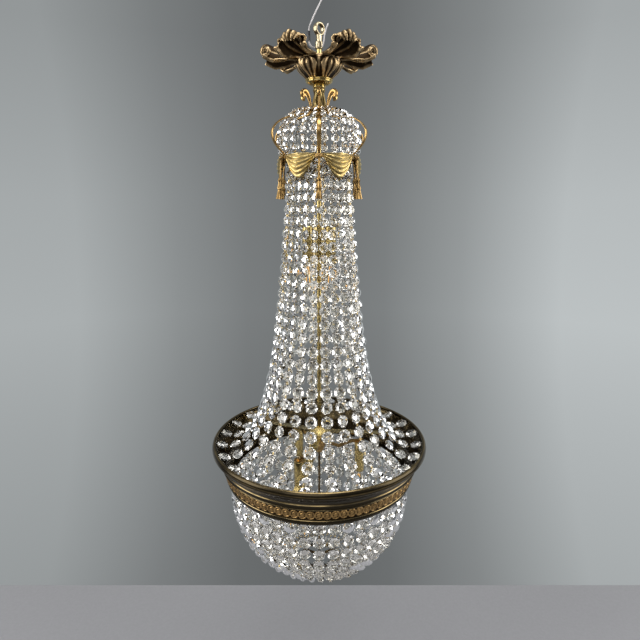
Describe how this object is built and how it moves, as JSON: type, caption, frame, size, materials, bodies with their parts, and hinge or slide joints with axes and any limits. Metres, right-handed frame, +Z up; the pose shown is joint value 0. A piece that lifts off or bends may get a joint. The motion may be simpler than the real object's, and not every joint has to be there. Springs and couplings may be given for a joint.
{
  "type": "crystal basket chandelier",
  "caption": "Crystal basket chandelier on a hanging eye: leaf canopy, bead dome, draped crown, bead skirt, gilt-banded basket ring, bead bowl and candle lamps pointing down.",
  "frame": {"origin": "centre of the hanging eye's hole", "axes": "+Z up along the stem, -Y towards the viewer of the picture"},
  "size_m": [0.5, 0.4986, 1.2947],
  "materials": {
    "brass": "polished, lightly aged",
    "dark_bronze": "dark antique patina, edges rubbed bright",
    "brown_gold": "brown-gold lacquer",
    "satin_gold": "satin gilt casting",
    "crystal": "clear cut and polished",
    "bulb_glass": "clear blown candle bulb",
    "cap_nickel": "nickelled screw cap",
    "holder_plastic": "moulded lamp holder",
    "white_wire": "single core insulation",
    "black_sleeve": "insulating sleeve"
  },
  "bodies": {
    "chandelier": {"hanging_loop": "brass", "stem_tube": "brass", "canopy_cup": "dark_bronze", "canopy_leaves": "dark_bronze", "canopy_collar": "brass", "neck_baluster": "brass", "crown_disc": "brass", "arm_boss": "brass", "crown_nut": "brass", "crown_ring": "brass", "crown_arms": "brass", "drapery_swags": "satin_gold", "tassels": "satin_gold", "basket_ring": "dark_bronze", "frieze_band": "satin_gold", "hub_dome": "brass", "hub_disc": "brass", "hub_cone": "dark_bronze", "ring_straps": "brown_gold", "upper_lamp_plate": "brass", "lower_lamp_arms": "brown_gold", "bottom_rod": "brass", "bottom_ring": "dark_bronze", "bottom_finial": "brass", "skirt_strands": "crystal", "crown_strands": "crystal", "bowl_strands": "crystal", "supply_wire_long": "white_wire", "supply_wire_short": "white_wire", "wire_sleeve": "black_sleeve", "upper_sleeves": "brass", "lower_sleeves": "brass", "upper_holders": "holder_plastic", "lower_holders": "holder_plastic"},
    "upper_bulb_1": {"upper_bulb_cap_1": "cap_nickel", "upper_bulb_glass_1": "bulb_glass"},
    "upper_bulb_2": {"upper_bulb_cap_2": "cap_nickel", "upper_bulb_glass_2": "bulb_glass"},
    "upper_bulb_3": {"upper_bulb_cap_3": "cap_nickel", "upper_bulb_glass_3": "bulb_glass"},
    "lower_bulb_1": {"lower_bulb_cap_1": "cap_nickel", "lower_bulb_glass_1": "bulb_glass"},
    "lower_bulb_2": {"lower_bulb_cap_2": "cap_nickel", "lower_bulb_glass_2": "bulb_glass"},
    "lower_bulb_3": {"lower_bulb_cap_3": "cap_nickel", "lower_bulb_glass_3": "bulb_glass"}
  },
  "joints": [
    {"name": "upper_bulb_1_unscrew", "type": "hinge", "parent": "chandelier", "child": "upper_bulb_1", "pos_m": [0.02425, -0.014, -0.46], "axis": [0, 0, 1], "range_deg": [0, 1080]},
    {"name": "upper_bulb_2_unscrew", "type": "hinge", "parent": "chandelier", "child": "upper_bulb_2", "pos_m": [0, 0.028, -0.46], "axis": [0, 0, 1], "range_deg": [0, 1080]},
    {"name": "upper_bulb_3_unscrew", "type": "hinge", "parent": "chandelier", "child": "upper_bulb_3", "pos_m": [-0.02425, -0.014, -0.46], "axis": [0, 0, 1], "range_deg": [0, 1080]},
    {"name": "lower_bulb_1_unscrew", "type": "hinge", "parent": "chandelier", "child": "lower_bulb_1", "pos_m": [-0.04404, -0.08643, -0.968], "axis": [0, 0, 1], "range_deg": [0, 1080]},
    {"name": "lower_bulb_2_unscrew", "type": "hinge", "parent": "chandelier", "child": "lower_bulb_2", "pos_m": [0.09687, 0.00508, -0.968], "axis": [0, 0, 1], "range_deg": [0, 1080]},
    {"name": "lower_bulb_3_unscrew", "type": "hinge", "parent": "chandelier", "child": "lower_bulb_3", "pos_m": [-0.05283, 0.08135, -0.968], "axis": [0, 0, 1], "range_deg": [0, 1080]}
  ]
}
